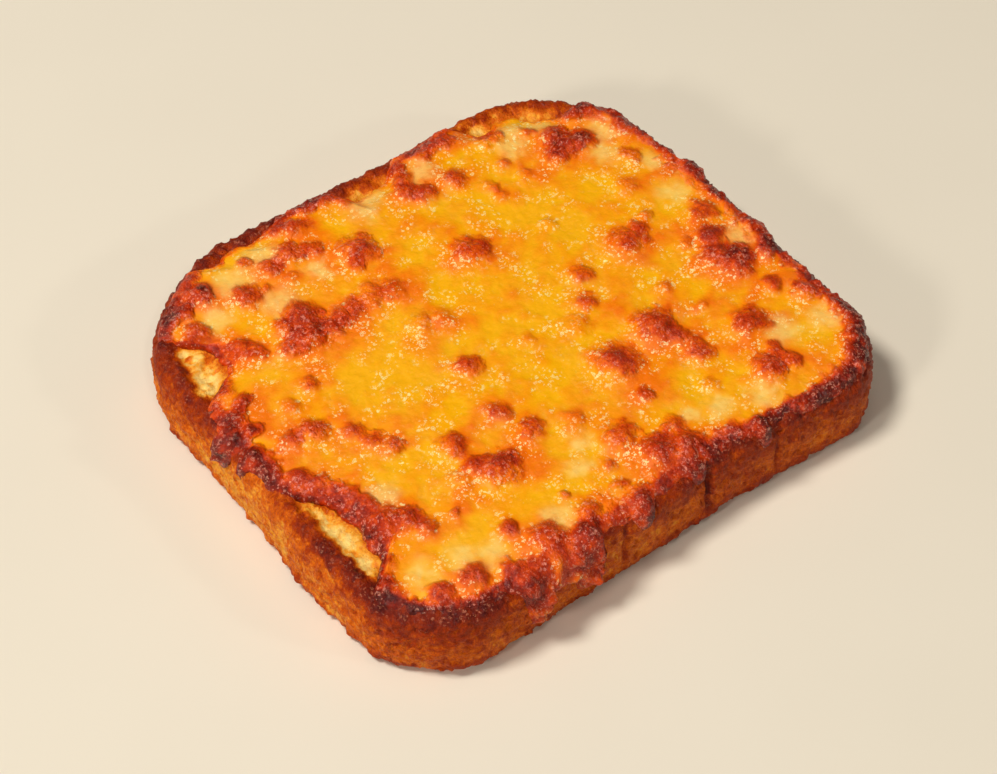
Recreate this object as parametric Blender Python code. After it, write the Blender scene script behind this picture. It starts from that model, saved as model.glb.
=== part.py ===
"""Cheese on toast: a thick slice of toasted tin bread under a layer of melted, browned cheese.

Units are metres. The slice lies flat with its underside on Z = 0. +Y points to the domed top of the slice,
-Y to its straight base, and X runs across it. The origin is under the middle of the whole.
"""

import math

import bmesh
import bpy
import numpy as np
from mathutils import Vector, noise

MM = 0.001

# The slice, seen from above: a rounded rectangle, pushed in and out in a few places
HALF_WIDTH = 62.7 * MM          # middle to side, along X
HALF_HEIGHT = 53.7 * MM         # middle to base, along Y
RADIUS_BASE_LEFT = 17 * MM
RADIUS_BASE_RIGHT = 18 * MM
RADIUS_TOP_RIGHT = 27 * MM
RADIUS_TOP_LEFT = 31 * MM
PUSHES = (
    {"what": "dome", "at": (-20 * MM, 54 * MM), "spread": 30 * MM, "push": (0, 2.6 * MM)},
    {"what": "dome, right of its middle", "at": (32 * MM, 54 * MM), "spread": 20 * MM, "push": (0, 1.4 * MM)},
    {"what": "dome, left end", "at": (-32 * MM, 54 * MM), "spread": 12 * MM, "push": (0, 1.2 * MM)},
    {"what": "left shoulder", "at": (-58 * MM, 40 * MM), "spread": 13 * MM, "push": (-1.6 * MM, 0.4 * MM)},
    {"what": "narrow left shoulder", "at": (-62 * MM, 26 * MM), "spread": 16 * MM, "push": (1.3 * MM, 0)},
    {"what": "left base", "at": (-64 * MM, -26 * MM), "spread": 18 * MM, "push": (-1.6 * MM, 0)},
    {"what": "base, left end", "at": (-42 * MM, -54 * MM), "spread": 12 * MM, "push": (0, -1.1 * MM)},
    {"what": "base, left of its middle", "at": (-8 * MM, -54 * MM), "spread": 12 * MM, "push": (0, -0.7 * MM)},
    {"what": "right side", "at": (63 * MM, 4 * MM), "spread": 26 * MM, "push": (1.5 * MM, 0)},
    {"what": "low right corner", "at": (52 * MM, -53 * MM), "spread": 22 * MM, "push": (0.9 * MM, -2.4 * MM)},
)

# The slice, seen from the side
THICKNESS = 16.6 * MM
EDGE_RADIUS = 2.4 * MM          # rounding where the cut faces meet the crust
QUARTER = EDGE_RADIUS * math.pi / 2
BELLY = 0.9 * MM                # how far the crust bulges at half its height
CRUST_WAVE = 0.55 * MM          # height of the unevenness of the crust
CRUST_WAVE_LENGTH = 13 * MM
CRUST_WAVE_FADE = 0.4           # share of the bulge below which the unevenness fades out

# The cheese
GAP = 0.3 * MM                  # between the cheese and the bread
CHEESE_THICKNESS = 1.9 * MM
CHEESE_THIN = 0.5 * MM          # at its edges
CHEESE_WAVE = 0.45 * MM
CHEESE_WAVE_LENGTH = 7 * MM
CHEESE_WAVE_START = (3, 1, 2)   # where in the noise the cheese's unevenness is read
BLISTER_RISE = 0.50             # height of a blister against its radius
SUNK = 1.2 * MM                 # how deep the cheese's shape reaches into the bread before that is cut away
EDGE_FADE = 7.0 * MM            # width over which the cheese thins out towards its edge
OVERHANG_FADE = 2.3 * MM        # the same fade, carried on past the edge, so that it isn't sharp there
BLISTER_FADE = 3.5 * MM         # width over which blisters flatten out towards the edge

# Bubbled, browned lumps of cheese: x, y and radius, in millimetres
BLISTERS = (
    # far left quarter
    (-34, 24, 5.5), (-32, 28, 3.5), (-25, 22, 3.2), (-20, 23, 2.8), (-15, 23.5, 3.5), (-10.5, 35, 4.6),
    (-37, 39, 3.5), (-22.5, 43.5, 3.8), (-47, 28, 4.2), (-51, 37, 3.2), (-44, 46, 3.4), (-20, 51.5, 3.2),
    (-8, 51, 2.8), (-56, 22, 3.2), (-40.5, 11.5, 2.6), (-48, 1.5, 3.8), (-13, 11, 3.0), (-12, -4.5, 3.4),
    # far right quarter
    (8, 20.5, 4.6), (9, 42, 3.6), (18.5, 39.5, 3.0), (21, 51, 3.2), (33, 45, 3.6), (43.5, 36, 4.8),
    (42, 31, 4.0), (48, 31.5, 3.8), (53, 39, 3.0), (60, 29, 3.6), (53, 22, 3.0), (62, 15, 3.0),
    (47, 14, 2.8), (38, 2.5, 4.4), (22.5, 1, 3.0), (54, -1, 3.6), (28, 33, 2.4),
    # near right quarter
    (12, -22.5, 5.2), (25, -20, 5.0), (28, -31, 3.2), (41, -31, 4.4), (50, -8, 4.2), (49, -15, 5.2),
    (52, -25.5, 2.8), (18, -6, 3.0), (11.5, -32.5, 2.4), (36, -43, 4.0), (10.5, -42, 2.6), (57, -32, 3.0),
    (0, -38, 4.0), (4.5, -45.5, 4.6), (20, -51, 3.6), (44, -53, 3.6), (60, -42, 3.2), (56, -49, 3.2),
    # near left quarter
    (-41, -4.5, 2.8), (-38, -11, 2.8), (-54, -12, 3.4), (-52, -20, 3.4), (-53, -28, 3.4), (-58, -35, 3.6),
    (-48, -27, 3.6), (-28, -20, 3.8), (-25.5, -28.5, 4.8), (-13, -25, 3.4), (-15, -18, 3.0),
    (-32.5, -42.5, 2.8), (-28, -49, 4.0), (-17, -50, 3.6), (-46, -48, 4.0), (-56, -45, 3.8),
    (-34, -57, 4.6), (-23, -56, 4.4),
)

# How far the cheese runs down the crust. The place along the outline is counted in sides: 0 is the middle
# of the near left corner, 1 of the near right one, 2 of the far right one and 3 of the far left one.
WRAP = 2.6 * MM
DRIPS = (                       # half widths are in sides too
    {"at": 0.100, "half_width": 0.030, "length": 1.5 * MM},
    {"at": 0.210, "half_width": 0.030, "length": 12.5 * MM},
    {"at": 0.262, "half_width": 0.045, "length": 6.0 * MM},
    {"at": 0.315, "half_width": 0.030, "length": 11.0 * MM},
    {"at": 0.445, "half_width": 0.024, "length": 4.0 * MM},
    {"at": 0.580, "half_width": 0.026, "length": 7.0 * MM},
    {"at": 0.715, "half_width": 0.018, "length": 4.5 * MM},
    {"at": 0.880, "half_width": 0.110, "length": 2.2 * MM},
    {"at": 1.100, "half_width": 0.060, "length": 1.5 * MM},
    {"at": 1.400, "half_width": 0.035, "length": 2.0 * MM},
    {"at": 1.620, "half_width": 0.030, "length": 2.0 * MM},
    {"at": 1.900, "half_width": 0.050, "length": 1.5 * MM},
    {"at": 3.375, "half_width": 0.028, "length": 5.5 * MM},
    {"at": 3.980, "half_width": 0.060, "length": 1.2 * MM},
)
# Where the cheese ends short of the rim and leaves crust and crumb bare
SET_BACKS = (
    {"what": "along the dome", "from": 2.12, "to": 2.90, "fade": 0.100, "depth": 6.0 * MM},
    {"what": "left shoulder", "from": 3.07, "to": 3.25, "fade": 0.040, "depth": 10.5 * MM},
    {"what": "left side", "from": 3.62, "to": 3.86, "fade": 0.050, "depth": 10.0 * MM},
)

# Fineness
GRID_STEPS = 48                 # faces along one side of the cheese's top
BREAD_STEPS = 36                # faces along one side of the slice's outline
ARC_STEPS = 12                  # points on each corner of the outline
EDGE_STEPS = 3                  # rows of faces over a rounded edge
WALL_ROWS = 5                   # rows of faces up the crust
DRIP_ROWS = 3                   # rows of faces down the overhanging cheese
PLACE_STEP = 0.01               # step along the outline, in sides, that its direction is read over

# Finish: colour in linear light, and roughness
BREAD_FINISH = ((0.55, 0.26, 0.08), 0.80)
CHEESE_FINISH = ((0.95, 0.45, 0.04), 0.35)
CUTTER_FINISH = ((1.0, 1.0, 1.0), 1.0)


def clear_scene():
    for thing in list(bpy.data.objects):
        bpy.data.objects.remove(thing, do_unlink=True)


def new_collection(name):
    collection = bpy.data.collections.new(name)
    bpy.context.scene.collection.children.link(collection)
    return collection


def new_material(name, colour, roughness):
    material = bpy.data.materials.new(name)
    material.use_nodes = True
    shader = material.node_tree.nodes["Principled BSDF"]
    shader.inputs["Base Color"].default_value = (*colour, 1)
    shader.inputs["Roughness"].default_value = roughness
    shader.inputs["Metallic"].default_value = 0
    return material


def new_object(name, shape, material, collection):
    """Turn a bmesh into a named object in a collection."""
    mesh = bpy.data.meshes.new(name)
    bmesh.ops.recalc_face_normals(shape, faces=shape.faces)
    shape.to_mesh(mesh)
    shape.free()
    mesh.materials.append(material)
    thing = bpy.data.objects.new(name, mesh)
    collection.objects.link(thing)
    return thing


def bell(distance, spread):
    """Smooth bump of height 1, falling off with distance."""
    return math.exp(-((distance / spread) ** 2))


def smooth_step(low, high, value):
    part = min(max((value - low) / (high - low), 0), 1)
    return part * part * (3 - 2 * part)


# ---- Outline of the slice ----

def rounded_rectangle():
    """Corner arcs of the plain slice, anticlockwise from the middle of the near left corner."""
    corners = ((-1, -1, RADIUS_BASE_LEFT), (1, -1, RADIUS_BASE_RIGHT),
               (1, 1, RADIUS_TOP_RIGHT), (-1, 1, RADIUS_TOP_LEFT))
    points = []
    for index, (side_x, side_y, radius) in enumerate(corners):
        middle_x = side_x * (HALF_WIDTH - radius)
        middle_y = side_y * (HALF_HEIGHT - radius)
        for step in range(ARC_STEPS + 1):
            angle = math.radians(180 + 90 * (index + step / ARC_STEPS))
            points.append((middle_x + radius * math.cos(angle), middle_y + radius * math.sin(angle)))
    first = ARC_STEPS // 2
    points = points[first:] + points[:first + 1]
    return np.array(points)


PATH = rounded_rectangle()
PATH_LENGTH = np.concatenate([[0], np.cumsum(np.linalg.norm(np.diff(PATH, axis=0), axis=1))])
CORNER_LENGTH = PATH_LENGTH[::ARC_STEPS + 1]


def plain_point(place):
    """Point of the outline at a place counted in sides."""
    length = np.interp(place % 4, range(5), CORNER_LENGTH)
    x, y = (float(np.interp(length, PATH_LENGTH, PATH[:, axis])) for axis in (0, 1))
    point = Vector((x, y))
    for bump in PUSHES:
        point += Vector(bump["push"]) * bell(math.dist((x, y), bump["at"]), bump["spread"])
    return point.to_3d()


def outward(place):
    """Level unit vector that points away from the slice at a place on its outline."""
    along = plain_point(place + PLACE_STEP) - plain_point(place - PLACE_STEP)
    return Vector((along.y, -along.x, 0)).normalized()


def skin_point(place, distance, grow=0):
    """Point of the slice's skin, or of a skin grown by a distance.

    The distance is measured from the edge of the flat top, outwards over the rounded edge and down the crust.
    """
    angle = min(max(distance / EDGE_RADIUS, 0), math.pi / 2)
    inset = EDGE_RADIUS * (1 - math.sin(angle)) - grow * math.sin(angle) - min(distance, 0)
    drop = EDGE_RADIUS * (1 - math.cos(angle)) - grow * math.cos(angle) + max(distance - QUARTER, 0)
    height = THICKNESS - drop
    point = plain_point(place) - outward(place) * inset
    point.z = height
    return point + outward(place) * crust_relief(point, height) * math.sin(angle)


def crust_relief(point, height):
    """Bulge and unevenness of the crust, none at the flat faces."""
    part = min(max(height / THICKNESS, 0), 1)
    hump = math.sin(math.pi * part)
    wave = noise.noise(Vector((point.x, point.y, height)) / CRUST_WAVE_LENGTH)
    return BELLY * hump + CRUST_WAVE * wave * smooth_step(0, CRUST_WAVE_FADE, hump)


# ---- Bread ----

def ring(shape, points):
    return [shape.verts.new(point) for point in points]


def bridge(shape, lower, upper):
    """Close the strip between two rings with the same number of points."""
    count = len(lower)
    for index in range(count):
        after = (index + 1) % count
        shape.faces.new((lower[index], lower[after], upper[after], upper[index]))


def underside_point(place, angle, grow):
    """Point of the rounded lower edge, from the flat underside at 0 to the crust at a right angle."""
    inset = EDGE_RADIUS * (1 - math.sin(angle)) - grow * math.sin(angle)
    point = plain_point(place) - outward(place) * inset
    point.z = EDGE_RADIUS * (1 - math.cos(angle)) - grow * math.cos(angle)
    return point + outward(place) * crust_relief(point, point.z) * math.sin(angle)


def make_bread_shape(grow=0):
    """The slice, or the slice grown on all sides by a distance."""
    shape = bmesh.new()
    places = [index / BREAD_STEPS for index in range(4 * BREAD_STEPS)]
    wall = THICKNESS - 2 * EDGE_RADIUS
    rings = []
    for step in range(EDGE_STEPS + 1):
        angle = math.pi / 2 * step / EDGE_STEPS
        rings.append(ring(shape, [underside_point(place, angle, grow) for place in places]))
    for row in range(1, WALL_ROWS):
        distance = QUARTER + wall * (1 - row / WALL_ROWS)
        rings.append(ring(shape, [skin_point(place, distance, grow) for place in places]))
    for step in range(EDGE_STEPS + 1):
        distance = QUARTER * (1 - step / EDGE_STEPS)
        rings.append(ring(shape, [skin_point(place, distance, grow) for place in places]))
    for lower, upper in zip(rings, rings[1:]):
        bridge(shape, lower, upper)
    shape.faces.new(rings[0])
    shape.faces.new(rings[-1])
    return shape


def make_bread(collection):
    material = new_material("toasted_bread", *BREAD_FINISH)
    return new_object("bread_slice", make_bread_shape(), material, collection)


# ---- Cheese ----

def set_back(place):
    """How far inside the edge of the flat top the cheese's flat part ends."""
    depth = 0
    for part in SET_BACKS:
        begun = smooth_step(part["from"] - part["fade"], part["from"] + part["fade"], place)
        ended = smooth_step(part["to"] - part["fade"], part["to"] + part["fade"], place)
        depth += part["depth"] * (begun - ended)
    return depth


def reach(place):
    """How far the cheese runs on from its flat part: over the rim and down the crust."""
    longest = 0
    for drip in DRIPS:
        away = abs(place - drip["at"])
        away = min(away, 4 - away) / drip["half_width"]
        longest = max(longest, drip["length"] * math.exp(-(away ** 4)))
    return WRAP + longest


def row_distance(place, row):
    """Distance of a row of the rim from the cheese's flat part: even steps over the rounded edge, then more
    down to where the cheese ends."""
    over_edge = min(QUARTER, reach(place) / 2)
    if row <= EDGE_STEPS:
        return over_edge * row / EDGE_STEPS
    return over_edge + (reach(place) - over_edge) * (row - EDGE_STEPS) / DRIP_ROWS


def place_of(u, v):
    """Place on the outline that lies in the direction of a point of the square grid."""
    size = max(abs(u), abs(v))
    if -v == size:
        return (u / size + 1) / 2
    if u == size:
        return 1 + (v / size + 1) / 2
    if v == size:
        return 2 + (1 - u / size) / 2
    return (3 + (1 - v / size) / 2) % 4


def cheese_depth(point, to_edge):
    """Thickness of the cheese over a point of the bread, thin towards the sheet's own edge."""
    wave = noise.noise(point / CHEESE_WAVE_LENGTH + Vector(CHEESE_WAVE_START))
    full = CHEESE_THICKNESS + CHEESE_WAVE * wave
    depth = CHEESE_THIN + (full - CHEESE_THIN) * smooth_step(-OVERHANG_FADE, EDGE_FADE, to_edge)
    rise = 0
    for x, y, radius in BLISTERS:
        away = math.hypot(point.x - x * MM, point.y - y * MM)
        rise = max(rise, BLISTER_RISE * radius * MM * bell(away, radius * MM))
    depth += rise * smooth_step(0, BLISTER_FADE, to_edge)
    return max(depth, CHEESE_THIN)


def rim_point(place, row, sunk=False):
    """Point of the cheese's rim, on its outside or sunk into the bread."""
    distance = row_distance(place, row)
    if sunk:
        return skin_point(place, distance - set_back(place), -SUNK)
    inner = skin_point(place, distance - set_back(place), GAP)
    depth = cheese_depth(inner, reach(place) - distance)
    return skin_point(place, distance - set_back(place), GAP + depth)


def make_cheese_shape():
    """Relief on a square grid with a rim in rows, closed inside the bread."""
    shape = bmesh.new()
    bmesh.ops.create_grid(shape, x_segments=GRID_STEPS, y_segments=GRID_STEPS, size=1)
    middle = Vector((0, 0, THICKNESS + GAP))
    border = {}
    for vertex in shape.verts:
        u, v = (round(value, 6) for value in vertex.co.xy)
        size = max(abs(u), abs(v))
        vertex.co = middle
        to_edge = HALF_HEIGHT
        if size:
            place = place_of(u, v)
            rim = skin_point(place, -set_back(place), GAP)
            vertex.co = middle.lerp(rim, size)
            to_edge = (rim - middle).length * (1 - size) + reach(place)
        if size == 1:
            border[place] = vertex
        vertex.co.z += cheese_depth(vertex.co, to_edge)
    places = sorted(border)
    above = [border[place] for place in places]
    last = EDGE_STEPS + DRIP_ROWS
    rows = [[rim_point(place, row) for place in places] for row in range(1, last + 1)]
    rows.append([rim_point(place, last, sunk=True) for place in places])
    for points in rows:
        below = ring(shape, points)
        bridge(shape, below, above)
        above = below
    core = shape.verts.new((0, 0, THICKNESS / 2))
    for index, vertex in enumerate(above):
        shape.faces.new((vertex, core, above[(index + 1) % len(above)]))
    return shape


def make_cheese(collection, cutters):
    material = new_material("melted_cheese", *CHEESE_FINISH)
    cheese = new_object("cheese_topping", make_cheese_shape(), material, collection)
    bed = new_object("bed_of_cheese", make_bread_shape(GAP), new_material("cutter", *CUTTER_FINISH), cutters)
    bed.hide_render = True
    bed.display_type = "WIRE"
    cut = cheese.modifiers.new("bed", "BOOLEAN")
    cut.operation = "DIFFERENCE"
    cut.object = bed
    return cheese


def main():
    clear_scene()
    parts = new_collection("cheese_on_toast")
    cutters = new_collection("cutters")
    make_bread(parts)
    make_cheese(parts, cutters)


main()
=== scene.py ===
"""Looks of the cheese on toast: dense surfaces for the toasted slice and its melted cheese, with their
procedural materials, the floor, the light and the camera. Lengths are in millimetres until a mesh is made.
Places along the outline are counted in sides, from 0 to 4, anticlockwise from the middle of the near left
corner."""

import math

import bpy
import numpy as np
from mathutils import Matrix, Vector, noise


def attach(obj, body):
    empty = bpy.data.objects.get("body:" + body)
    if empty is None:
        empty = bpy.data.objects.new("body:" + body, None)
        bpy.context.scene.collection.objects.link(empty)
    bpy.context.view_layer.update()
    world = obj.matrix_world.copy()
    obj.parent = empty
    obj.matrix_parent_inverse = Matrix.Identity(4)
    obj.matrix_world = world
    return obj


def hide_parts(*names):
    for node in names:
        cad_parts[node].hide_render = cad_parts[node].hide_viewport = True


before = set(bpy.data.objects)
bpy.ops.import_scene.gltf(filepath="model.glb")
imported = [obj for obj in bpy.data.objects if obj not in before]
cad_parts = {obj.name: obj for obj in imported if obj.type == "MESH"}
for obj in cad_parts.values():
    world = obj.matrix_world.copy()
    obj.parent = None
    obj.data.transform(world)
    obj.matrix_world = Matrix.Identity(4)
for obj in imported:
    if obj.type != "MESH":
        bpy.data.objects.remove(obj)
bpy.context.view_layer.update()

MM = 0.001
UP = np.array([0, 0, 1])

# ---- The slice, as the solids have it ----
HALF_WIDTH = 62.7
HALF_HEIGHT = 53.7
CORNER_RADII = (17, 18, 27, 31)  # near left, near right, far right, far left
PUSHES = (                      # middle, spread and push of each place where the outline is moved
    ((-20, 54), 30, (0, 2.6)),
    ((32, 54), 20, (0, 1.4)),
    ((-32, 54), 12, (0, 1.2)),
    ((-58, 40), 13, (-1.6, 0.4)),
    ((-62, 26), 16, (1.3, 0)),
    ((-64, -26), 18, (-1.6, 0)),
    ((-42, -54), 12, (0, -1.1)),
    ((-8, -54), 12, (0, -0.7)),
    ((63, 4), 26, (1.5, 0)),
    ((52, -53), 22, (0.9, -2.4)),
)
THICKNESS = 16.6
EDGE_RADIUS = 2.4
BELLY = 0.9                     # how far the crust bulges halfway up
WALL = THICKNESS - 2 * EDGE_RADIUS
# Distances over the skin, from the edge of the flat top to the end of the rounded edge, wall and skin
QUARTER = EDGE_RADIUS * math.pi / 2
WALL_END = QUARTER + WALL
SKIN_END = 2 * QUARTER + WALL

# ---- The cheese's edge, from the solids' values and set closer to the photo ----
WRAP = 1.5                      # how far the cheese runs on from its flat part
THIN_WRAPS = ((0.03, 0.13, 0.8), (0.78, 0.24, 0.7))  # place, half width, and how much less it runs on
DRIPS = (                       # place, half width, length
    (0.210, 0.030, 12.5), (0.262, 0.045, 6.0), (0.315, 0.032, 11.0), (0.445, 0.022, 4.0),
    (0.572, 0.016, 2.5), (0.715, 0.012, 4.0), (0.880, 0.110, 1.4), (1.100, 0.060, 1.5), (1.400, 0.035, 2.0),
    (1.620, 0.030, 2.0), (1.900, 0.050, 1.5), (3.375, 0.024, 5.5), (3.440, 0.014, 3.0),
)
SET_BACKS = (                   # from, to, fade, depth
    (1.985, 2.235, 0.035, 5.6),
    (2.410, 2.525, 0.030, 5.0),
    (2.670, 2.850, 0.040, 3.8),
    (3.070, 3.250, 0.040, 10.5),
    (3.590, 3.850, 0.060, 8.8),
)
DOME = (2.5, 0.5)               # place and half width of the stretch where the bare crust is uneven
BARE_UNEVENNESS = 0.45
CHEESE_THICKNESS = 2.1
CHEESE_BACK = 0.8               # how deep in the bread the hidden back of the cheese lies
EDGE_ROUNDING = 1.1             # distance over which the cheese's end rounds off
EDGE_SHARE = 0.36               # share of its thickness that the cheese has near its end
BESIDE_BARE = 0.16              # how much smaller that share is beside bare bread
HANGING_KNOBS = 1.9             # how far soft knobs rise from the cheese on the crust

# ---- The crust's relief and colour ----
# Bands along its rim: middle, spread and power of each one's bell
CRUMBLY_RIM = (0.2, 1.9, 2)
BURNT_RIM = (0.1, 2.7, 4)
TROUGH = (-6, 3.5, 4)
TROUGH_DEPTH = 0.7
TOAST = 0.46                    # how toasted the slice is all over

# ---- Browned lumps of cheese: x, y, radius and how brown ----
LUMPS_FAR_LEFT = (
    (-35.5, 27.5, 3.5, .75), (-33, 22, 4.5, .95), (-38, 22, 3, .7), (-31, 27.5, 4, .8), (-28, 21, 3.2, .65),
    (-24.5, 22.0, 3.2, .60), (-21, 22.8, 3.2, .55), (-16, 23.5, 4.0, .45), (-12, 22, 3.4, .35),
    (-10.5, 35.5, 4.5, .85), (-13.5, 31.5, 2.2, .6), (-37, 39, 3.5, .8), (-32, 38.5, 1.5, .4),
    (-26, 37.5, 2, .35), (-28, 42.5, 2.5, .7), (-22.5, 43.5, 3.5, .75), (-18, 41.5, 2.5, .6),
    (-31.5, 47, 1.8, .7), (-20, 52, 3.2, .8), (-17, 49, 3, .7), (-12, 53, 3.0, .8), (-7, 52, 2.8, .75),
    (-4, 49, 2.2, .6), (-51, 37, 3, .75), (-49.5, 30.5, 2.6, .6), (-46.5, 28, 2.8, .65),
    (-44, 25.5, 2.4, .55), (-44, 45.5, 3, .95), (-49, 44, 2.5, .85), (-53, 44, 2.6, .95), (-56, 22, 3, .75),
    (-40.5, 11.5, 2.3, .6), (-47, 9, 2.5, .35), (-13, 11, 3.5, .35), (-8, 9, 3, .3), (-48, 1, 3.5, .7),
    (-52.5, 2, 2.5, .6), (-12, -4.5, 3.2, .7),
)
LUMPS_FAR_RIGHT = (
    (8, 20.5, 4.5, .8), (8, 42.5, 2.8, .7), (11, 40, 3, .75), (9.5, 46, 2.4, .6), (10.5, 50, 2.4, .7),
    (18.5, 39.5, 3, .65), (17.5, 50, 2.5, .8), (21, 51, 2.6, .85), (24, 50, 2.4, .8), (32.5, 45, 3.5, .7),
    (40, 41.5, 2, .5), (43.5, 36, 3.5, .9), (41, 31.5, 3.5, .85), (48, 31.5, 3.5, .9), (45, 33, 3.5, .95),
    (52, 39.5, 3, .85), (56.5, 40, 2.8, .95), (59.5, 29, 3.5, .9), (53, 22, 2.8, .6), (47, 15, 3, .35),
    (62.5, 17, 2.5, .85), (63, 12, 2.5, .95), (62, 3, 3, .95), (36, 2, 4.5, .7), (41, 4, 2.6, .45),
    (45, 6, 2.2, .4), (22.5, 1, 2.8, .65), (54, -1, 3.5, .75), (24, 33, 2, .4), (30, 37, 2, .4),
    (32, 31, 2, .35), (24, 30, 1.8, .35), (27, 17, 2, .3),
)
LUMPS_NEAR_RIGHT = (
    (12, -22.5, 5, .9), (25, -19.5, 4.8, .85), (27, -24, 3, .6), (28.5, -28.5, 2.6, .55),
    (28, -31.5, 2.8, .65), (41, -31, 4.3, .8), (51, -7, 3, .9), (48.5, -12.5, 4, 1.0),
    (52.5, -15, 3.5, .95), (50, -17, 4, .95), (52, -25.5, 2.5, .75), (58.5, -17.5, 2.5, .9),
    (18, -6, 3, .6), (13, -9.5, 3, .35), (11.5, -32.5, 2.3, .6), (36, -43, 4, .8), (40.5, -39.5, 2.4, .65),
    (41.3, -44, 2.4, .7), (10.5, -42, 2.5, .6), (57, -31.5, 3, .8), (0, -38, 4, .75), (4, -45.5, 4.5, .85),
    (10, -48, 3.5, .9), (12.5, -51, 3, .9), (-6.5, -42, 2, .55), (-8, -47, 2, .6), (-6, -53, 2.6, .9),
    (-1, -53.5, 2.6, .85), (16, -52, 2.8, .85), (20, -51.5, 2.6, .8), (25, -53, 2.8, .85),
    (33, -53, 2.6, .8), (41, -54.5, 2.6, 1.0), (45, -55, 2.6, 1.0), (48, -53, 2.6, .9), (54, -50, 3, .85),
    (60, -38, 2.6, .9), (61, -42, 2.6, 1.0), (58, -47, 2.8, .9), (46, -5.5, 2, .4), (34, -12.5, 2, .35),
    (37, -21, 2, .35), (2.5, -6, 2, .3), (24, -38, 2, .35),
)
LUMPS_NEAR_LEFT = (
    (-41, -4, 2.5, .65), (-39.5, -8, 2.5, .65), (-37.5, -12, 2.5, .65), (-60, -2, 2.6, .85),
    (-57, -7, 2.8, .85), (-55, -11, 2.8, .85), (-53, -15, 3, .85), (-52, -20, 3, .85), (-53, -24, 3, .85),
    (-53.5, -28, 3, .9), (-57, -33, 3, .9), (-60.5, -38, 3, .95), (-49.5, -26, 3, .75),
    (-46.5, -28.5, 3, .75), (-44.5, -32, 2.5, .7), (-28, -19, 3.5, .7), (-27.5, -26, 3, .7),
    (-24.5, -29.5, 4.5, .9), (-32, -27, 3, .35), (-13, -25, 3.2, .7), (-15, -18, 2.8, .6),
    (-4.5, -29, 3, .35), (-32.5, -42.5, 2.5, .65), (-45, -47.5, 3.2, .70), (-38, -50, 2.4, .75),
    (-52.5, -46.5, 2.8, .80), (-28, -48.5, 4, .65), (-17, -49, 3.5, .60), (-18, -42.5, 1.5, .5),
    (-38, -33, 1.5, .5), (-61, 12, 2.6, .95), (-58, 14, 2.8, .95), (-54.5, 16, 2.4, .85), (-57, 9, 2, .9),
    (-60, 4, 2, .9), (-60.5, 0, 2, .85),
)
LUMPS = LUMPS_FAR_LEFT + LUMPS_FAR_RIGHT + LUMPS_NEAR_RIGHT + LUMPS_NEAR_LEFT
# Lumps that hang on the crust: x, y, height, radius and how brown
HANGING_LUMPS = (
    (-35.7, -55.0, 16.2, 2.8, .55), (-33.2, -56.0, 12.4, 3.0, .50), (-30.5, -57.0, 5.9, 2.6, 1.0),
    (-35.5, -57.0, 8.1, 2.2, .35), (-33.5, -56.5, 3.6, 2.0, .45), (-20.6, -52.5, 16.6, 3.2, .75),
    (-23.2, -55.2, 15.5, 3.2, .75), (-22.0, -56.5, 10.2, 3.2, .85), (-25.4, -56.5, 10.0, 2.2, .40),
    (-20.4, -56.5, 5.6, 2.4, .80), (-24.6, -56.5, 5.6, 1.9, .45), (-7.0, -55.0, 15.6, 2.6, 1.0),
    (-6.4, -55.6, 12.8, 1.8, 1.0), (6.5, -55.0, 14.2, 2.8, .85), (8.0, -55.6, 10.6, 2.0, .80),
    (23.0, -55.6, 13.6, 1.6, 1.0),
)
# Pale, see-through places in the cheese: x, y and radius
PALE_PLACES = (
    (-36, 44, 4), (-27, 47, 3.5), (-32, 33.5, 4), (-45, 38, 3), (-2, 44, 3), (2, 47, 3), (-20, 36, 2.5),
    (38, 44, 2.5), (44, 41.5, 3), (54, 31, 3.5), (50, 26, 3), (35, 40, 3), (15, 46, 3), (56, 18, 2.5),
    (54, 8, 3), (16, -42, 2), (46, -36.5, 3.5), (57, -11, 3), (-11, -39, 2.5), (-7, -34, 2.5), (-52, -40, 3),
    (-38, -45, 3), (-22.5, -46, 3.2), (-46, -20, 3), (22, -44, 3), (31, -47, 3), (-43, -42, 3), (55, -39, 3),
)
# Along the cheese's rim: place, how brown it is, how far in the browning goes, and how much it swells
RIM_BROWN = (
    (0.00, 1.00, 3.4, 0.1), (0.15, 1.00, 3.2, 0.2), (0.22, 0.60, 3.6, 0.5), (0.30, 0.50, 4.5, 0.6),
    (0.40, 0.62, 4.5, 0.5), (0.50, 0.75, 3.4, 0.6), (0.60, 0.92, 4.2, 0.5), (0.75, 0.98, 3.6, 0.4),
    (0.90, 1.00, 3.8, 0.4), (1.00, 1.00, 4.2, 0.6), (1.20, 0.95, 4.4, 1.3), (1.50, 0.88, 3.8, 1.4),
    (1.80, 0.92, 4.2, 1.4), (1.94, 0.88, 4.0, 1.1), (2.02, 0.45, 2.2, 0.4), (2.20, 0.30, 2.0, 0.3),
    (2.27, 0.70, 4.0, 0.8), (2.36, 0.75, 4.0, 0.8), (2.44, 0.30, 2.0, 0.3), (2.51, 0.45, 2.6, 0.4),
    (2.57, 0.90, 4.0, 0.8), (2.64, 0.85, 3.6, 0.7), (2.71, 0.50, 2.6, 0.4), (2.82, 0.60, 3.0, 0.5),
    (2.90, 0.85, 3.8, 0.7), (3.00, 0.92, 4.0, 0.7), (3.08, 0.75, 2.2, 0.2), (3.25, 0.75, 2.2, 0.2),
    (3.40, 0.98, 4.0, 0.9), (3.60, 0.94, 4.4, 0.7), (3.75, 0.92, 4.8, 0.7), (3.90, 0.94, 4.0, 0.4),
    (4.00, 1.00, 3.4, 0.1),
)
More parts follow.
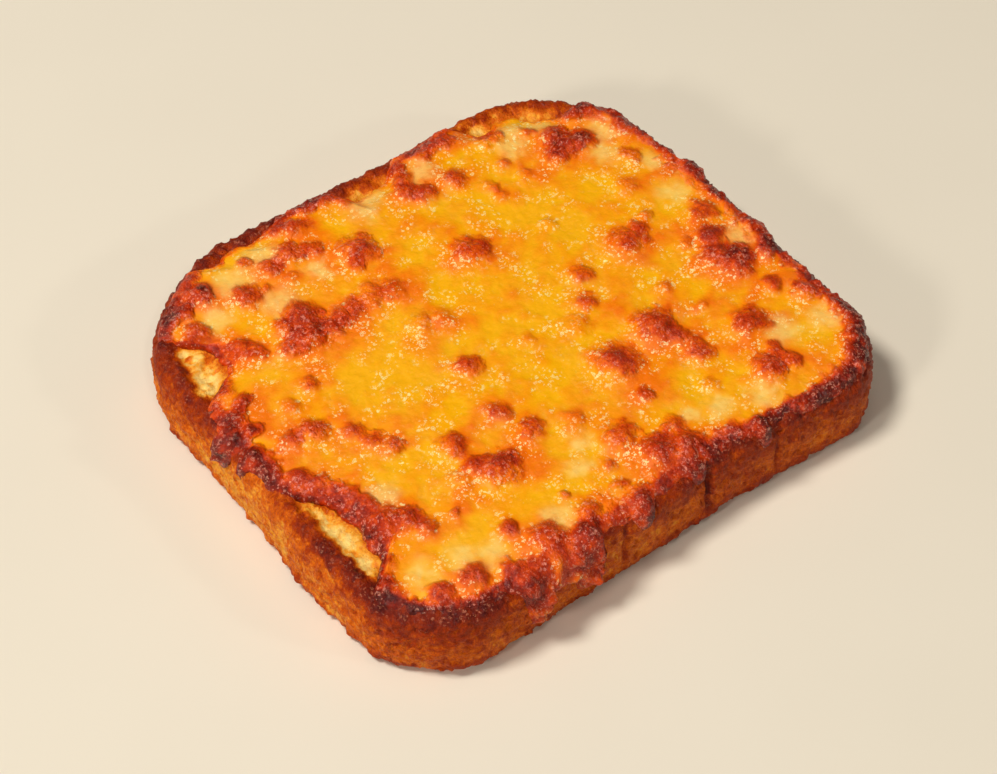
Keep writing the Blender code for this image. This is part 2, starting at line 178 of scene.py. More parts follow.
# Along the slice: place, how burnt its rim is, how burnt its wall is high up, and how pale its bare top is
BREAD_BROWN = (
    (0.00, 0.95, 0.66, 0.0), (0.12, 0.85, 0.50, 0.0), (0.20, 0.60, 0.22, 0.0), (0.36, 0.50, 0.15, 0.0),
    (0.52, 0.60, 0.30, 0.0), (0.57, 0.90, 0.75, 0.0), (0.66, 0.80, 0.45, 0.0), (1.00, 0.90, 0.60, 0.0),
    (1.50, 0.80, 0.40, 0.0), (1.92, 0.75, 0.30, 0.0), (1.99, 0.35, 0.10, 0.8), (2.24, 0.35, 0.10, 0.8),
    (2.31, 0.45, 0.15, 0.3), (2.41, 0.55, 0.20, 0.9), (2.53, 0.60, 0.25, 0.9), (2.66, 0.85, 0.45, 0.5),
    (2.84, 0.90, 0.55, 0.4), (2.98, 0.95, 0.70, 0.1), (3.06, 0.95, 0.75, 0.9), (3.27, 0.95, 0.70, 0.9),
    (3.37, 0.80, 0.45, 0.4), (3.46, 0.20, 0.00, 0.8), (3.56, 0.30, 0.00, 0.6), (3.66, 0.80, 0.15, 0.9),
    (3.86, 0.95, 0.30, 0.8), (3.95, 0.95, 0.60, 0.0), (4.00, 0.95, 0.66, 0.0),
)
# Stretches where the whole crust is lighter: place, half width in sides, how much
LIGHTER_CRUST = ((0.27, 0.17, 0.07), (2.45, 0.40, 0.12), (3.45, 0.45, 0.16))
# Creases down the crust: place, half width in sides, depth
CREASES = ((0.592, 0.0070, 1.3), (0.742, 0.0045, 0.7), (0.402, 0.0060, 0.8), (1.000, 0.0100, 0.5))

# ---- Uneven fields: the size of their lumps in millimetres, octaves and seed ----
UNEVEN = {
    # Along and over the cheese
    "bare edge": (11, 2, 5), "frill": (6, 3, 1), "fine frill": (1.6, 2, 2), "lump skin": (1.9, 3, 6),
    "rim patches": (4.2, 3, 8), "rim spots": (1.9, 3, 7), "rim gaps": (3.1, 2, 17), "rim knots": (6.5, 2, 18),
    "mottle": (7.5, 3, 9), "ripple": (2.3, 3, 10), "fine": (0.95, 2, 11), "char": (4.2, 3, 15),
    # Patches where painted highlights show on the cheese
    "highlight patches": (5.0, 3, 16),
    # Over the bread
    "grain": (1.1, 3, 21), "flakes": (3.6, 3, 22), "waves": (12, 2, 23), "pores": (2.0, 3, 24),
    "crumb": (1.7, 3, 25), "strands": (1.0, 2, 26),
}
NOISE_ROUGHNESS = (0.8, 2.1)    # how fast finer octaves fade, and how much finer each is
NOISE_SHIFT = 17.3              # how far apart the seeds lie in the noise
# Scattered points: size of their cells in millimetres and seed
CELLS = {"rim beads": (2.7, 4), "knobs": (3.4, 5), "crust beads": (1.5, 1), "crust crumbs": (2.8, 2)}
CELL_SHIFT = 9.7
RING_RADIUS = 70                # of the circle on which fields along the outline are read
LUMP_WARPS = ((4.5, 0.85, 3), (1.8, 0.28, 31))  # size, how far and seed: these make the lumps uneven
PALE_WARP = (3, 1.6, 12)

# ---- Browned lumps, in shares of their radius ----
LUMP_RISE = 0.56                # height of a fully browned lump
LUMP_LEAST_RISE = 0.40          # share of it that an unbrowned lump has
LUMP_SPREAD = (0.85, 2.3)       # spread and power of its bell
HANGING_SQUASH = 1.2            # how much lower than wide a hanging lump is
BROWN_MIDDLE_AWAY_FROM_LIT_SIDE = (0.28, 0.10)     # browning shifted off the lit side, to the left, which is painted paler: painted light
BROWN_RANGE = (1.44, 0.26)      # where the browning begins and where it is full
BROWN_GRAIN = 0.22
HALO_MIDDLE = (0.55, -0.35)     # the orange halo trails off to the near right
HALO_SQUEEZE = 0.75
HALO_SPREAD = (1.65, 2.3)
HALO_STRENGTH = 0.80
LIT_GLINTS_MIDDLE = (-0.62, -0.10)   # the painted highlights lie on the lit side
LIT_GLINTS_SPREAD = (0.85, 2.5)
LIT_GLINTS_LEAST = 0.35

# ---- Browned rim of the cheese, in millimetres and shares ----
RIM_LINE = (2.4, 0.3)           # where the brown line along the end begins and where it is full
LINE_RAGGEDNESS = 1.6
PATCH_RANGE = (1.20, 0.45)      # where a patch begins and where it is full, against its own width
PATCH_WIDTHS = (0.30, 1.45)     # narrowest and widest patch, against the table's width
NEAR_LEFT_CORNER = (0.0, 0.20)  # place and half width of the corner with an unbroken line
SWOLLEN_RIM = (1.2, 2.4, 2)     # middle, spread and power of the bell of its swelling

# ---- Fineness ----
CHEESE_SIDE = 250               # faces along one side of the cheese's top
CHEESE_ROWS = 26                # rows of faces over its rim
ROW_CROWDING = 1.15             # above 1, the rows lie closer together towards the frilly end
BREAD_SIDE = 230                # faces along one side of the slice's outline
ROW_HEIGHT = 0.45
TOP_BAND = 15                   # width of the slice's top that has relief, from its edge inwards
UNDERSIDE_ROWS = 22
ARC_STEPS = 24                  # for each corner of the plain outline
NEARBY = 0.01                   # in sides, for the direction of the outline
TINY = 1e-9


# ---- Small maths ----

def smooth_step(low, high, value):
    """Smooth rise from 0 at low to 1 at high, or a fall where low is the greater."""
    part = np.clip((value - low) / (high - low), 0, 1)
    return part * part * (3 - 2 * part)


def between(first, second, part):
    """Value a part of the way from the first to the second."""
    return first + (second - first) * part


def bell(distance, spread, power=2):
    """1 at no distance and towards 0 beyond the spread, with a flatter top for a greater power."""
    return np.exp(-np.abs(distance / spread) ** power)


def flat_bell(distance, spread):
    return bell(distance, spread, 4)


def band(distance, middle, spread, power):
    """A bell round its middle."""
    return bell(distance - middle, spread, power)


def fractal(points, size, octaves, seed):
    """Uneven field of about -1 to 1 with lumps of a size, one value for each point."""
    scaled = (points / size + NOISE_SHIFT * seed).tolist()
    return np.array([noise.fractal(point, *NOISE_ROUGHNESS, octaves) for point in scaled])


def uneven(name, points):
    """One of the named uneven fields."""
    return fractal(points, *UNEVEN[name])


def shares(field, gain):
    """An uneven field spread over 0 to 1, with more contrast for a greater gain."""
    return 0.5 + 0.5 * np.clip(gain * field, -1, 1)


def cells(name, points):
    """Distance to the nearest of many scattered points, in cell sizes."""
    size, seed = CELLS[name]
    scaled = (points / size + CELL_SHIFT * seed).tolist()
    return np.array([noise.voronoi(point)[0][0] for point in scaled])


def warped(points, size, most, seed):
    """Points moved about level, so that round shapes come out uneven."""
    shift = [fractal(points, size, 3, seed + axis) for axis in range(2)]
    return points + most * np.stack([*shift, np.zeros(len(points))], 1)


# ---- Skin of the slice ----

def plain_outline():
    """Points round the plain slice from the middle of its near left corner, their lengths along the outline,
    and the lengths at the middles of the corners."""
    signs = ((-1, -1), (1, -1), (1, 1), (-1, 1))
    arcs = []
    for index, ((side_x, side_y), radius) in enumerate(zip(signs, CORNER_RADII)):
        angles = np.radians(180 + 90 * (index + np.arange(ARC_STEPS + 1) / ARC_STEPS))
        x = side_x * (HALF_WIDTH - radius) + radius * np.cos(angles)
        y = side_y * (HALF_HEIGHT - radius) + radius * np.sin(angles)
        arcs.append(np.stack([x, y], 1))
    points = np.concatenate(arcs)
    first = ARC_STEPS // 2
    path = np.concatenate([points[first:], points[:first + 1]])
    length = np.concatenate([[0], np.cumsum(np.linalg.norm(np.diff(path, axis=0), axis=1))])
    return path, length, length[::ARC_STEPS + 1]


PATH, PATH_LENGTH, CORNER_LENGTH = plain_outline()


def outline(place):
    """Points of the slice's outline at places along it."""
    length = np.interp(place % 4, range(5), CORNER_LENGTH)
    plain = np.stack([np.interp(length, PATH_LENGTH, PATH[:, axis]) for axis in (0, 1)], -1)
    pushed = plain.copy()
    for at, spread, push in PUSHES:
        away = np.linalg.norm(plain - np.array(at), axis=-1)
        pushed += bell(away, spread)[..., None] * np.array(push)
    return pushed


def outward(place):
    """Level directions square to the outline."""
    forward = outline(place + NEARBY) - outline(place - NEARBY)
    normal = np.stack([forward[..., 1], -forward[..., 0]], -1)
    return normal / np.linalg.norm(normal, axis=-1, keepdims=True)


def skin(place, distance):
    """Points and normals of the slice's plain skin. The distance runs from the edge of the flat top outwards,
    over the rounded edge, down the crust and under the lower edge."""
    upper = np.clip(distance / EDGE_RADIUS, 0, math.pi / 2)
    lower = np.clip((distance - WALL_END) / EDGE_RADIUS, 0, math.pi / 2)
    angle = upper + lower
    down = np.clip(distance - QUARTER, 0, WALL)
    under = np.maximum(distance - SKIN_END, 0)
    inset = EDGE_RADIUS * (1 - np.sin(angle)) - np.minimum(distance, 0) + under
    height = THICKNESS - EDGE_RADIUS * (1 - np.cos(upper)) - down - EDGE_RADIUS * np.sin(lower)
    level = outward(place)
    hump = BELLY * np.sin(math.pi * np.clip(height / THICKNESS, 0, 1)) * np.sin(angle)
    flat = outline(place) - level * (inset - hump)[..., None]
    points = np.concatenate([flat, height[..., None]], -1)
    normals = np.concatenate([level * np.sin(angle)[..., None], np.cos(angle)[..., None]], -1)
    return points, normals


def place_of(u, v):
    """Places on the outline in the directions of points of a square grid."""
    size = np.maximum(np.maximum(np.abs(u), np.abs(v)), TINY)
    near = (u / size + 1) / 2
    right = 1 + (v / size + 1) / 2
    far = 2 + (1 - u / size) / 2
    left = 3 + (1 - v / size) / 2
    edge = size - TINY
    return np.select([-v >= edge, u >= edge, v >= edge], [near, right, far], left) % 4


# ---- Values along the outline ----

def near_place(place, at):
    """How far places are from one place, in sides."""
    away = np.abs(place % 4 - at)
    return np.minimum(away, 4 - away)


def along(table, place):
    """Values of a table at places on the outline, one array for each column after the place."""
    table = np.array(table)
    return [np.interp(place % 4, table[:, 0], column) for column in table[:, 1:].T]


def stretches(table, place):
    """Sum of the stretches of a table of places, half widths and heights."""
    return sum(height * flat_bell(near_place(place, at), half_width) for at, half_width, height in table)


def ring_points(place):
    """Points round a circle, where the uneven fields along the outline are read."""
    angle = place * math.pi / 2
    return RING_RADIUS * np.stack([np.cos(angle), np.sin(angle), 0 * place], -1)


def set_back(place):
    """How far inside the edge of the flat top the cheese's flat part ends."""
    depth = np.zeros_like(place)
    for start, end, fade, most in SET_BACKS:
        begun = smooth_step(start - fade, start + fade, place)
        depth += most * (begun - smooth_step(end - fade, end + fade, place))
    middle, half_width = DOME
    unevenness = BARE_UNEVENNESS * flat_bell(near_place(place, middle), half_width)
    return depth * (1 + unevenness * np.clip(uneven("bare edge", ring_points(place)), -1, 0.6))


def reach(place):
    """How far the cheese runs on from its flat part, with a frilly end."""
    longest = np.zeros_like(place)
    for at, half_width, length in DRIPS:
        longest = np.maximum(longest, length * flat_bell(near_place(place, at), half_width))
    ring = ring_points(place)
    frill = 0.8 * uneven("frill", ring) + 0.45 * uneven("fine frill", ring)
    return WRAP - stretches(THIN_WRAPS, place) + longest + frill * (1 + 0.06 * longest)


# ---- Fields of the cheese ----

def radii_from(side, radius, middle=(0, 0), squeeze=1):
    """Distances in radii from a point near a lump's middle, itself given in radii."""
    side_x = (side[0] - middle[0] * radius) * squeeze
    side_y = side[1] - middle[1] * radius
    return np.sqrt(side_x ** 2 + side_y ** 2 + side[2] ** 2) / radius


def lump_fields(points):
    """Height, brownness, orange halo and painted highlights that the browned lumps give each point; the
    browning is painted paler and the highlights are painted on the lit side.
    """
    moved = points
    for warp in LUMP_WARPS:
        moved = warped(moved, *warp)
    grain = BROWN_GRAIN * uneven("lump skin", points)
    height = np.zeros(len(points))
    plain = np.ones(len(points))
    clear = np.ones(len(points))
    lit_side_glints = np.zeros(len(points))
    lying = [(x, y, None, radius, level) for x, y, radius, level in LUMPS]
    for x, y, z, radius, level in lying + list(HANGING_LUMPS):
        side_z = 0 if z is None else (moved[:, 2] - z) * HANGING_SQUASH
        side = (moved[:, 0] - x, moved[:, 1] - y, side_z)
        rise = LUMP_RISE * radius * between(LUMP_LEAST_RISE, 1, level)
        height = np.maximum(height, rise * bell(radii_from(side, radius), *LUMP_SPREAD))
        plain *= 1 - level * smooth_step(*BROWN_RANGE, radii_from(side, radius, BROWN_MIDDLE_AWAY_FROM_LIT_SIDE) + grain)
        from_halo = radii_from(side, radius, HALO_MIDDLE, HALO_SQUEEZE)
        clear *= 1 - HALO_STRENGTH * level * bell(from_halo, *HALO_SPREAD)
        lit_glints_here = between(LIT_GLINTS_LEAST, 1, level) * bell(radii_from(side, radius, LIT_GLINTS_MIDDLE), *LIT_GLINTS_SPREAD)
        lit_side_glints = np.maximum(lit_side_glints, lit_glints_here)
    return height, 1 - plain, 1 - clear, lit_side_glints


def rim_brown(place, inside, points):
    """Browning along the cheese's edge, and the burnt line at its very end, for distances inside it."""
    level, width, _ = along(RIM_BROWN, place)
    at, half_width = NEAR_LEFT_CORNER
    corner = flat_bell(near_place(place, at), half_width)
    spots = shares(uneven("rim spots", points), 1.7)
    widths = width * between(*PATCH_WIDTHS, shares(uneven("rim patches", points), 2.0))
    line = smooth_step(*RIM_LINE, inside + LINE_RAGGEDNESS * (spots - 0.5))
    patches = smooth_step(*PATCH_RANGE, inside / widths) * between(0.45, 1, spots)
    brown = np.minimum((0.36 + 0.30 * corner) * line + 0.60 * patches, 1)
    unbroken = np.maximum(corner, smooth_step(-0.45, 0.15, uneven("rim gaps", points)))
    return level * brown, level * line * unbroken


def rim_swell(place, inside, points):
    """How much the cheese swells in beads along its edge, where that is fully brown."""
    swelling = along(RIM_BROWN, place)[2]
    beads = smooth_step(0.75, 0.15, cells("rim beads", points))
    knots = 1 + 0.55 * np.clip(uneven("rim knots", points), -1, 1)
    return swelling * knots * (0.5 + 1.2 * beads) * band(inside, *SWOLLEN_RIM)


def edge_share(place, to_edge):
    """Share of its whole thickness that the cheese has near its end, and less beside bare bread."""
    beside_bare = smooth_step(1, 4, set_back(place)) * smooth_step(6, 2, to_edge)
    return between(EDGE_SHARE, 1, smooth_step(-1, 6, to_edge)) - BESIDE_BARE * beside_bare


def pale_field(points):
    """How pale and see-through the cheese is."""
    moved = warped(points, *PALE_WARP)
    pale = np.zeros(len(points))
    for x, y, radius in PALE_PLACES:
        away = np.hypot(moved[:, 0] - x, moved[:, 1] - y) / radius
        pale = np.maximum(pale, bell(away, 1, 3))
    return pale


def painted_highlight_field(points, brown, rim, ripple, lit_side_glints):
    """Where the painted highlights show, as wet glints: in patches, on the lumps' lit side and in the rim,
    and less where brown.
    """
    patches = smooth_step(0, 0.35, uneven("highlight patches", points))
    # Painted highlights along the browned rim as well
    rim_glints = rim * smooth_step(-0.2, 0.3, ripple)
    painted_highlights = np.clip(0.85 * patches + 1.2 * lit_side_glints + rim_glints, 0, 1)
    return painted_highlights * (1 - 0.38 * smooth_step(0.25, 0.60, brown))


def cheese_fields(points, place, to_edge, inward):
    """Thickness of the cheese over points of the slice, and its colour fields. To_edge is how far away its
    end is, and inward how far inside the edge of the slice's flat top the points lie."""
    inside = np.minimum(to_edge, inward)
    on_crust = smooth_step(0.5, 3.5, -inward)
    mottle = uneven("mottle", points)
    ripple = uneven("ripple", points)
    height, brown, halo, lit_side_glints = lump_fields(points)
    rim, line = rim_brown(place, inside, points)
    brown = 1 - (1 - brown) * (1 - rim)
    burnt = smooth_step(0.88, 0.98, brown)

    # Cheese that hangs on the crust browns unevenly, in soft knobs, with painted shade in the valleys between
    # them
    softer = on_crust * (1 - burnt)
    knobs = smooth_step(0.66, 0.18, cells("knobs", points + 0.9 * ripple[:, None]))
    brown *= 1 - 0.30 * softer * smooth_step(0.5, 1.6, height)
    brown = np.clip(brown + softer * (0.16 - 0.40 * knobs), 0, 1)

    body = (CHEESE_THICKNESS + 0.30 * mottle + 0.10 * ripple) * (1 - 0.5 * on_crust)
    swell = rim * rim_swell(place, inside, points)
    risen = height * smooth_step(0, 5.5, to_edge)
    rough = between(0.05, 0.43, smooth_step(0.15, 0.8, brown)) * uneven("fine", points)
    hanging = HANGING_KNOBS * on_crust * knobs * smooth_step(0.5, 3.5, to_edge)
    rounding = np.sqrt(np.clip(to_edge / EDGE_ROUNDING, 0, 1))
    depth = rounding * (edge_share(place, to_edge) * body + swell + risen + rough + hanging)

    dark = smooth_step(0.84, 1, brown) * smooth_step(0, 0.5, uneven("char", points) + on_crust * burnt)
    return depth, {
        "brown": brown,
        "orange": np.clip(halo + 0.70 * mottle + 0.15 * ripple + 0.12, 0, 1) * (1 - 0.8 * brown),
        "char": np.maximum(dark, line),
        "pale": pale_field(points) * (1 - smooth_step(0.1, 0.5, brown)),
        # Share of painted highlights, wet glints painted into the colour
        "painted_highlights": painted_highlight_field(points, brown, rim, ripple, lit_side_glints),
    }


# ---- Fields of the bread ----

def crease_depth(place, distance, waves):
    """Depth of the creases, which run down from the rim and fade out over the lower half of the wall."""
    crease = np.zeros(len(place))
    for at, half_width, depth in CREASES:
        crease = np.maximum(crease, depth * bell(near_place(place, at + 0.002 * waves), half_width))
    return crease * smooth_step(WALL_END, QUARTER + 0.5 * WALL, distance)


def bare_crumb(place, distance, grain, flakes):
    """Where the top of the slice lies bare, away from the cheese's end and inside the toasted rim."""
    from_cheese = distance - reach(place) + set_back(place)
    inside_rim = smooth_step(-0.3, -2.9, distance + 1.2 * flakes)
    return inside_rim * smooth_step(-0.6, 3.4, from_cheese + 0.9 * grain)


def bread_fields(points, place, distance):
    """Relief of the slice's skin, and how toasted and how crumby it is."""
    rim_burn, wall_burn, paleness = along(BREAD_BROWN, place)
    on_wall = smooth_step(-0.5, QUARTER, distance)
    underneath = smooth_step(WALL_END, SKIN_END, distance)
    grain, flakes, waves = (uneven(name, points) for name in ("grain", "flakes", "waves"))
    strands = uneven("strands", np.stack([100 * place, 0.22 * distance, 0 * distance], 1))
    pores = smooth_step(0.20, 0.60, uneven("pores", points))
    beads = cells("crust beads", points)
    crumbs = cells("crust crumbs", points)
    foot = smooth_step(WALL_END - 3, WALL_END + 1.5, distance + 1.2 * flakes) * (1 - underneath)
    crease = on_wall * crease_depth(place, distance, waves)
    crumb = (1 - on_wall) * paleness * bare_crumb(place, distance, grain, flakes)

    crust = 0.40 * grain + 0.40 * flakes + 0.5 * waves * on_wall + 0.42 * (0.5 - beads) - 0.30 * pores
    foot_crumbs = np.clip(2.2 * flakes, 0, 1) * (0.30 + 0.25 * smooth_step(0.6, 0.1, crumbs))
    rim_crumbs = (0.5 + 0.9 * rim_burn * smooth_step(0.7, 0.1, crumbs)) * band(distance, *CRUMBLY_RIM)
    below = np.minimum(0.22 * grain - 0.4 * pores - 0.1, 0)
    relief = between(crust + foot * (foot_crumbs - 0.25 * grain) + rim_crumbs, below, underneath)
    relief -= crease + TROUGH_DEPTH * band(distance, *TROUGH) * (1 - on_wall)
    relief += crumb * (0.55 * uneven("crumb", points) + 0.45 * strands - 0.2)

    rim = rim_burn * band(distance, *BURNT_RIM)
    high = smooth_step(QUARTER + 0.62 * WALL, 0.5, distance + 3.5 * flakes) * smooth_step(-1.4, 0.2, distance)
    # Burnt rim and upper wall, and painted shade darkening the creases
    burn_and_crease_shade = np.maximum.reduce([rim, wall_burn * high, 0.7 * crease])
    spots = 0.10 * grain + 0.10 * pores + 0.12 * (beads - 0.3)
    toast = TOAST - stretches(LIGHTER_CRUST, place) + 0.09 * flakes + 0.10 * waves + 0.14 * foot
    toast += spots * (1 + 1.2 * crumb) + 0.14 * crumb * strands + burn_and_crease_shade * (0.40 + 0.16 * flakes)
    return relief, {"toast": toast, "crumb": crumb}


# ---- Meshes ----

class Surface:
    """Points, fields and faces of one closed mesh, gathered ring by ring."""

    def __init__(self):
        self.points = []
        self.fields = []
        self.faces = []
        self.total = 0

    def add_points(self, points, fields):
        """Adds points with their fields, and gives their numbers."""
        self.points.append(points)
        self.fields.append(fields)
        self.total += len(points)
        return np.arange(self.total - len(points), self.total)

    def join(self, upper, lower):
        """Adds the faces between two closed rings of numbers."""
        self.faces.append(np.stack([upper, lower, np.roll(lower, -1), np.roll(upper, -1)], 1))

    def piece(self, name, caps, material):
        """Smooth mesh object in metres, closed by large end faces, with the fields on its vertices."""
        faces = np.concatenate(self.faces).tolist() + [cap.tolist() for cap in caps]
        mesh = bpy.data.meshes.new(name)
        mesh.from_pydata((np.concatenate(self.points) * MM).tolist(), [], faces)
        for field in self.fields[0]:
            attribute = mesh.attributes.new(field, "FLOAT", "POINT")
            values = np.concatenate([fields[field] for fields in self.fields])
            attribute.data.foreach_set("value", values.astype(np.float32))
        mesh.shade_smooth()
        mesh.materials.append(material)
        mesh.validate()
        piece = bpy.data.objects.new(name, mesh)
        bpy.context.scene.collection.objects.link(piece)
        return piece


def make_cheese(material):
    """Top on a square grid, rim in rows, and a flat back that closes the cheese inside the bread."""
    surface = Surface()
    side = np.linspace(-1, 1, CHEESE_SIDE + 1)
    u, v = (axis.ravel() for axis in np.meshgrid(side, side))
    size = np.maximum(np.abs(u), np.abs(v))
    place = place_of(u, v)
    run = reach(place)
    back = set_back(place)
    middle = THICKNESS * UP
    spokes = skin(place, -back)[0] - middle
    base = middle + spokes * size[:, None]
    to_edge = np.linalg.norm(spokes, axis=1) * (1 - size) + run
    depth, fields = cheese_fields(base, place, to_edge, to_edge - run + back)
    grid = surface.add_points(base + depth[:, None] * UP, fields).reshape(CHEESE_SIDE + 1, -1)
    squares = np.stack([grid[:-1, :-1], grid[:-1, 1:], grid[1:, 1:], grid[1:, :-1]], -1)
    surface.faces.append(squares.reshape(-1, 4))

    ring = np.concatenate([grid[0, :-1], grid[:-1, -1], grid[-1, :0:-1], grid[:0:-1, 0]])
    place, run, back = place[ring], run[ring], back[ring]
    for row in range(1, CHEESE_ROWS + 1):
        distance = run * (1 - (1 - row / CHEESE_ROWS) ** ROW_CROWDING)
        base, normals = skin(place, distance - back)
        depth, fields = cheese_fields(base, place, run - distance, back - distance)
        below = surface.add_points(base + normals * depth[:, None], fields)
        surface.join(ring, below)
        ring = below
    for distance in (run, np.zeros_like(run)):
        base, normals = skin(place, distance - back)
        below = surface.add_points(base - normals * CHEESE_BACK, fields)
        surface.join(ring, below)
        ring = below
    return surface.piece("melted_cheese", [ring[::-1]], material)


def make_bread(material):
    """Rings from the flat top outwards, down the crust and across the underside."""
    surface = Surface()
    places = np.arange(4 * BREAD_SIDE) / BREAD_SIDE
    layers = []
    for distance in [*np.arange(-TOP_BAND, SKIN_END, ROW_HEIGHT), SKIN_END]:
        base, normals = skin(places, np.full(len(places), distance))
        layers.append((base, normals, distance))
    edge = layers[-1][0]
    for row in range(1, UNDERSIDE_ROWS + 1):
        size = 1 - row / (UNDERSIDE_ROWS + 0.5)
        layers.append((edge * (size, size, 0), -UP, SKIN_END + 1))
    rings = []
    for base, normals, distance in layers:
        relief, fields = bread_fields(base, places, np.full(len(places), distance))
        points = base + normals * relief[:, None]
        points[:, 2] = np.maximum(points[:, 2], 0)
        rings.append(surface.add_points(points, fields))
    for upper, lower in zip(rings, rings[1:]):
        surface.join(upper, lower)
    return surface.piece("toasted_slice", [rings[0], rings[-1][::-1]], material)


# ---- Materials ----

def linear(colour):
    """Linear values, with full alpha, of a screen colour of 0 to 255."""
    parts = [part / 255 for part in colour]
    return (*(part / 12.92 if part <= 0.04045 else ((part + 0.055) / 1.055) ** 2.4 for part in parts), 1)


class Nodes:
    """A material's node tree, with short ways to add and join nodes. Sizes are in millimetres."""

    def __init__(self, name, **surface):
        self.material = bpy.data.materials.new(name)
        self.material.use_nodes = True
        self.tree = self.material.node_tree
        self.shader = self.tree.nodes["Principled BSDF"]
        self.fill(self.shader, surface)

    def fill(self, node, inputs):
        """Sets or links a node's inputs by name, with _ for each space."""
        for name, value in inputs.items():
            self.feed(node.inputs[name.replace("_", " ")], value)

    def feed(self, socket, value):
        if isinstance(value, bpy.types.NodeSocket):
            self.tree.links.new(value, socket)
        else:
            socket.default_value = value

    def add(self, kind, settings=None, **inputs):
        node = self.tree.nodes.new(kind)
        for name, value in (settings or {}).items():
            setattr(node, name, value)
        self.fill(node, inputs)
        return node

    def field(self, name):
        return self.add("ShaderNodeAttribute", {"attribute_name": name}).outputs["Fac"]

    def operate(self, operation, *values, clamp=False):
        node = self.add("ShaderNodeMath", {"operation": operation, "use_clamp": clamp})
        for socket, value in zip(node.inputs, values):
            self.feed(socket, value)
        return node.outputs[0]

    def product(self, *values, clamp=False):
        return self.operate("MULTIPLY", *values, clamp=clamp)

    def total(self, *terms):
        """Sum of numbers and sockets, or of pairs of these that are multiplied first."""
        values = [self.product(*term) if isinstance(term, tuple) else term for term in terms]
        result = values[0]
        for value in values[1:]:
            result = self.operate("ADD", result, value)
        return result

    def coordinates(self):
        return self.add("ShaderNodeTexCoord").outputs["Object"]

    def noise(self, size, detail=3, roughness=0.55, stretch=None):
        """Noise of about 0 to 1."""
        place = self.coordinates()
        if stretch:
            place = self.add("ShaderNodeMapping", Vector=place, Scale=stretch).outputs[0]
        scale = 1 / (size * MM)
        node = self.add("ShaderNodeTexNoise", Vector=place, Scale=scale, Detail=detail, Roughness=roughness)
        return node.outputs["Fac"]

    def variation(self, size, detail, roughness):
        """Noise about 0."""
        return self.total(self.noise(size, detail, roughness), -0.5)

    def glint_dots(self, size, share):
        """Scattered painted highlights, round cores and arcs, one to a cell of the size, that take up a share
        of it across.
        """
        # Bent coordinates make them uneven
        place = self.coordinates()
        bend = self.add("ShaderNodeTexNoise", Vector=place, Scale=1 / (0.8 * size * MM), Detail=1)
        scaled = self.add("ShaderNodeVectorMath", {"operation": "SCALE"}, Scale=0.9 * size * MM,
                          Vector=bend.outputs["Color"])
        bent = self.add("ShaderNodeVectorMath", {"operation": "ADD"})
        self.feed(bent.inputs[0], place)
        self.feed(bent.inputs[1], scaled.outputs[0])
        spots = self.add("ShaderNodeTexVoronoi", Vector=bent.outputs[0], Scale=1 / (size * MM))
        away = spots.outputs["Distance"]
        # Rings with gaps in them make the arcs
        rings = self.step(0.09, 0.04, self.operate("ABSOLUTE", self.total(away, -share)))
        arcs = self.product(rings, self.step(0.50, 0.56, self.noise(0.9 * size, 1)))
        cores = self.step(0.6 * share, 0.3 * share, away)
        return self.operate("MAXIMUM", arcs, cores)

    def step(self, low, high, value):
        """Smooth rise from 0 at low to 1 at high, or a fall."""
        node = self.add("ShaderNodeMapRange", {"interpolation_type": "SMOOTHSTEP"})
        self.fill(node, {"Value": value, "From Min": low, "From Max": high})
        return node.outputs["Result"]

    def ramp(self, value, stops):
        """Colour along stops of a place and a screen colour."""
        node = self.add("ShaderNodeValToRGB", Fac=value)
        points = node.color_ramp.elements
        for place, _ in stops[1:-1]:
            points.new(place)
        for point, (_, colour) in zip(points, stops):
            point.color = linear(colour)
        return node.outputs["Color"]

    def mix(self, part, first, second):
        """Colour from the first to the second, as the part goes from 0 to 1."""
        node = self.add("ShaderNodeMix", {"data_type": "RGBA"}, Factor=part)
        colours = [socket for socket in node.inputs if socket.type == "RGBA"]
        for socket, value in zip(colours, (first, second)):
            self.feed(socket, value)
        return next(socket for socket in node.outputs if socket.type == "RGBA")

    def bump(self, height, distance, **below):
        """Normal of a relief, over the Normal below it where one is given."""
        return self.add("ShaderNodeBump", Height=height, Distance=distance * MM, **below).outputs["Normal"]


# Colours from 0, untouched, to 1, burnt
CHEESE_COLOURS = (
    (0.00, (255, 178, 0)), (0.18, (255, 157, 0)), (0.36, (250, 118, 0)), (0.52, (222, 74, 0)),
    (0.66, (186, 46, 2)), (0.82, (134, 26, 4)), (1.00, (78, 14, 10)),
)
BREAD_COLOURS = (
    (0.00, (255, 216, 124)), (0.22, (250, 170, 52)), (0.40, (224, 105, 12)), (0.58, (174, 58, 4)),
    (0.78, (132, 37, 16)), (1.00, (88, 24, 20)),
)
PALE_CHEESE = (252, 210, 112)
# Painted highlights: their colours on cheese, on brown cheese and on crust, and how strongly they are painted
PAINTED_GLINTS_ON_CHEESE = (255, 244, 168)
PAINTED_GLINTS_ON_BROWN = (255, 172, 140)
PAINTED_GLINTS_ON_CRUST = (236, 150, 110)
PAINTED_GLINT_STRENGTH = 0.80
GLINT_STRENGTH = 0.42
FLOOR_COLOUR = (238, 228, 208)
FLOOR_SHADE = 5                 # how much darker its darker clouds are
FLOOR_CLOUDS = 60               # their size


